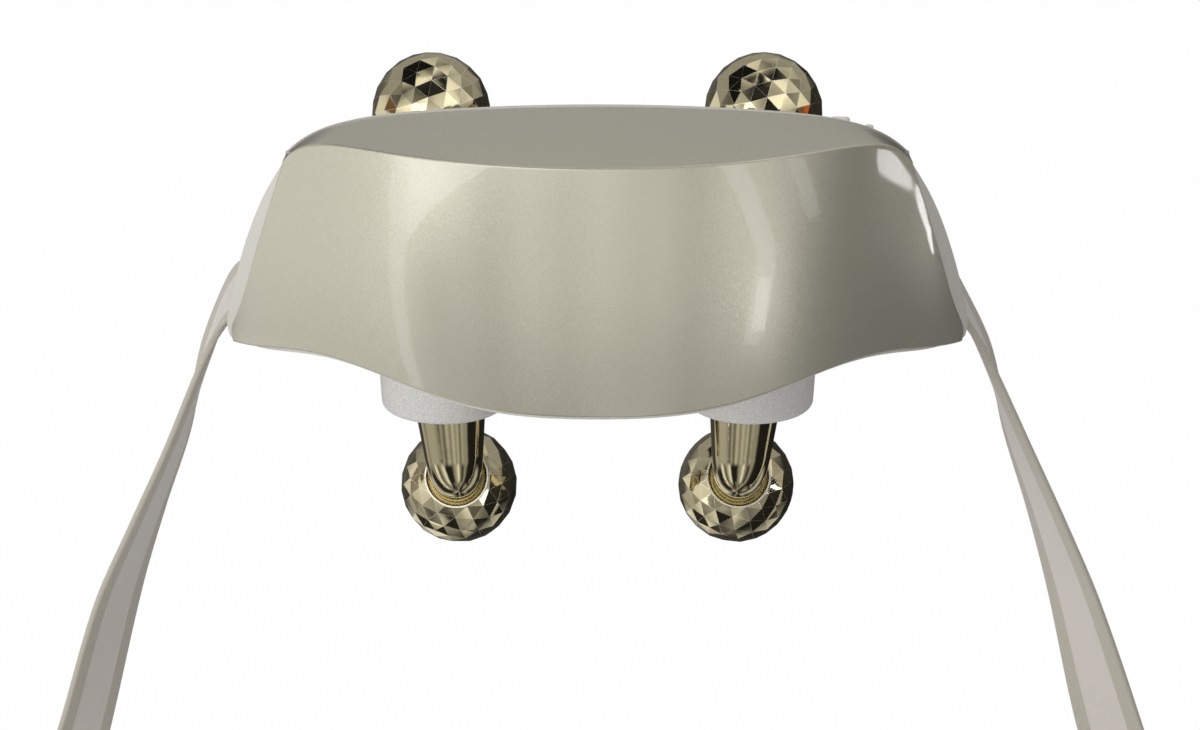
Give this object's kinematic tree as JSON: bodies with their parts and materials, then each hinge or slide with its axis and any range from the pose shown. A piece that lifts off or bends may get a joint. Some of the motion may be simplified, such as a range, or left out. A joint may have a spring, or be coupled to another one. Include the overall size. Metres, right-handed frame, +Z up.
{
  "type": "neck and shoulder massager",
  "caption": "Cordless neck and shoulder massager: a curved shell with rocking claws that carry faceted, freely spinning kneading balls, pulled down by webbing hand straps.",
  "frame": {"origin": "middle of the kneading balls, where the nape rests", "axes": "+X towards the wearer's right, +Y towards the wearer's neck, +Z up"},
  "size_m": [0.4452, 0.1212, 0.4991],
  "materials": {
    "pearl_shell": "pearlescent champagne silver gloss",
    "cover_border": "satin light grey",
    "pod_skin": "fine leather-like grain, light grey",
    "champagne_metal": "polished champagne gold",
    "button_cap": "smooth gloss, light grey",
    "webbing": "woven beige webbing with flat borders",
    "nylon": "natural moulded nylon",
    "steel": "machined",
    "circuit_board": "green solder resist",
    "cell_wrap": "blue shrink wrap"
  },
  "bodies": {
    "housing": {"outer_cover": "pearl_shell", "rear_cover": "cover_border", "chassis": "nylon", "battery_pack": "cell_wrap", "battery_bracket": "steel", "main_board": "circuit_board", "charge_socket": "steel", "button_board": "circuit_board", "left_motor": "steel", "right_motor": "steel", "left_pod": "pod_skin", "right_pod": "pod_skin", "pivot_pins": "steel", "housing_screws": "steel", "board_screws": "steel", "pod_screws": "steel", "left_strap_anchor": "steel", "right_strap_anchor": "steel", "left_strap": "webbing", "right_strap": "webbing", "left_hand_loop": "webbing", "right_hand_loop": "webbing"},
    "left_claw": {"left_yoke": "nylon", "left_claw_gear": "nylon", "left_upper_arm": "champagne_metal", "left_lower_arm": "champagne_metal", "left_claw_hardware": "steel"},
    "left_pinion": {"left_drive_pinion": "steel"},
    "left_upper_ball": {"left_upper_ball_top": "champagne_metal", "left_upper_ball_base": "champagne_metal", "left_upper_ball_bush": "steel"},
    "left_lower_ball": {"left_lower_ball_top": "champagne_metal", "left_lower_ball_base": "champagne_metal", "left_lower_ball_bush": "steel"},
    "right_claw": {"right_yoke": "nylon", "right_claw_gear": "nylon", "right_upper_arm": "champagne_metal", "right_lower_arm": "champagne_metal", "right_claw_hardware": "steel"},
    "right_pinion": {"right_drive_pinion": "steel"},
    "right_upper_ball": {"right_upper_ball_top": "champagne_metal", "right_upper_ball_base": "champagne_metal", "right_upper_ball_bush": "steel"},
    "right_lower_ball": {"right_lower_ball_top": "champagne_metal", "right_lower_ball_base": "champagne_metal", "right_lower_ball_bush": "steel"},
    "power_button": {"power_button": "button_cap"},
    "mode_button": {"mode_button": "button_cap"}
  },
  "joints": [
    {"name": "left_claw_rock", "type": "hinge", "parent": "housing", "child": "left_claw", "pos_m": [-0.04925, -0.02, 0], "axis": [0, 1, 0], "range_deg": [-6.47, 13.53]},
    {"name": "left_pinion_spin", "type": "hinge", "parent": "housing", "child": "left_pinion", "pos_m": [-0.04925, -0.044, 0.0375], "axis": [0, 1, 0], "range_deg": [-58, 30]},
    {"name": "left_upper_ball_spin", "type": "hinge", "parent": "left_claw", "child": "left_upper_ball", "pos_m": [-0.0532, 0, 0.06398], "axis": [0.0308, -0.866, -0.4991], "continuous": true},
    {"name": "left_lower_ball_spin", "type": "hinge", "parent": "left_claw", "child": "left_lower_ball", "pos_m": [-0.0453, 0, -0.06398], "axis": [-0.0308, -0.866, 0.4991], "continuous": true},
    {"name": "right_claw_rock", "type": "hinge", "parent": "housing", "child": "right_claw", "pos_m": [0.04925, -0.02, 0], "axis": [0, 1, 0], "range_deg": [-13.53, 6.47]},
    {"name": "right_pinion_spin", "type": "hinge", "parent": "housing", "child": "right_pinion", "pos_m": [0.04925, -0.044, 0.0375], "axis": [0, 1, 0], "range_deg": [-30, 58]},
    {"name": "right_upper_ball_spin", "type": "hinge", "parent": "right_claw", "child": "right_upper_ball", "pos_m": [0.0532, 0, 0.06398], "axis": [-0.0308, -0.866, -0.4991], "continuous": true},
    {"name": "right_lower_ball_spin", "type": "hinge", "parent": "right_claw", "child": "right_lower_ball", "pos_m": [0.0453, 0, -0.06398], "axis": [0.0308, -0.866, 0.4991], "continuous": true},
    {"name": "power_press", "type": "slide", "parent": "housing", "child": "power_button", "axis": [0, -0.7071, -0.7071], "range_m": [0, 0.0008], "stiffness_N_per_m": 800, "springref_m": -0.0004},
    {"name": "mode_press", "type": "slide", "parent": "housing", "child": "mode_button", "axis": [0, -0.7071, -0.7071], "range_m": [0, 0.0008], "stiffness_N_per_m": 800, "springref_m": -0.0004}
  ],
  "couplings": [
    {"joint": "left_pinion_spin", "follows": "left_claw_rock", "ratio": -4},
    {"joint": "right_pinion_spin", "follows": "right_claw_rock", "ratio": -4}
  ]
}
